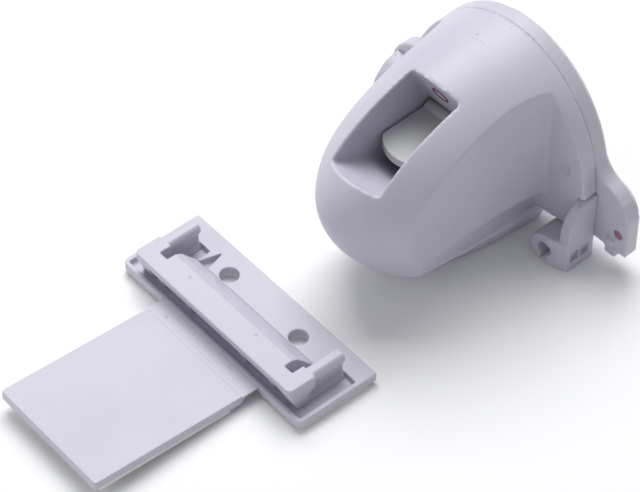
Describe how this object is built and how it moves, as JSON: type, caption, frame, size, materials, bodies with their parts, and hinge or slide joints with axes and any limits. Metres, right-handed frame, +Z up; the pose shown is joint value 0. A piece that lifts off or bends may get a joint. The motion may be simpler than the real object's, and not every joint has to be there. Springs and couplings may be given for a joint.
{
  "type": "cabinet safety lock",
  "caption": "Stick-on cabinet safety lock: a bullet-nosed lock body with a push lever and side hooks, beside its catch plate with a raised rail and a folding tongue.",
  "frame": {"origin": "centre of the catch plate's base pad, on the surface it stands on", "axes": "+X along the rail, +Y across the rail from the tongue towards the lock body, +Z up"},
  "size_m": [0.0813, 0.1445, 0.056],
  "materials": {
    "white_plastic": "satin moulded plastic",
    "inner_plastic": "satin moulded plastic",
    "grey_plastic": "satin moulded plastic",
    "foam": "soft closed-cell foam",
    "red_film": "release film",
    "red_ink": "printed line",
    "steel": "bright"
  },
  "bodies": {
    "catch_plate": {"base_tray": "white_plastic", "rail_bridge": "white_plastic", "hinge_web": "white_plastic", "base_pad": "foam"},
    "tongue": {"tongue_plate": "white_plastic", "tongue_pad": "foam"},
    "lock_body": {"front_shell": "white_plastic", "back_plate": "white_plastic", "inner_frame": "inner_plastic", "left_hook_clip": "white_plastic", "right_hook_clip": "white_plastic", "shell_screws": "steel", "frame_screws": "steel", "back_pad": "foam", "back_liner": "red_film", "lever_pin": "steel", "latch_pin": "steel", "return_spring": "steel", "ring_mark": "red_ink"},
    "lever": {"release_lever": "grey_plastic"},
    "latch": {"latch_claw": "inner_plastic"}
  },
  "joints": [
    {"name": "tongue_fold", "type": "hinge", "parent": "catch_plate", "child": "tongue", "pos_m": [0.0006, -0.01425, 0.003], "axis": [-1, 0, 0], "range_deg": [-93, 96], "deforming": ["hinge_web"]},
    {"name": "lock_slide", "type": "slide", "parent": "catch_plate", "child": "lock_body", "axis": [-0.0436, 0.999, 0], "range_m": [0, 0.06]},
    {"name": "lever_press", "type": "hinge", "parent": "lock_body", "child": "lever", "pos_m": [0.00645, 0.05822, 0.0355], "axis": [0.999, 0.0436, 0], "range_deg": [0, 10], "stiffness_Nm_per_rad": 0.02, "springref_deg": -5.73},
    {"name": "latch_turn", "type": "hinge", "parent": "lock_body", "child": "latch", "pos_m": [0.00645, 0.05822, 0.019], "axis": [0.999, 0.0436, 0], "range_deg": [-12, 0], "deforming": ["return_spring"]}
  ],
  "couplings": [
    {"joint": "latch_turn", "follows": "lever_press", "ratio": -1.2}
  ]
}
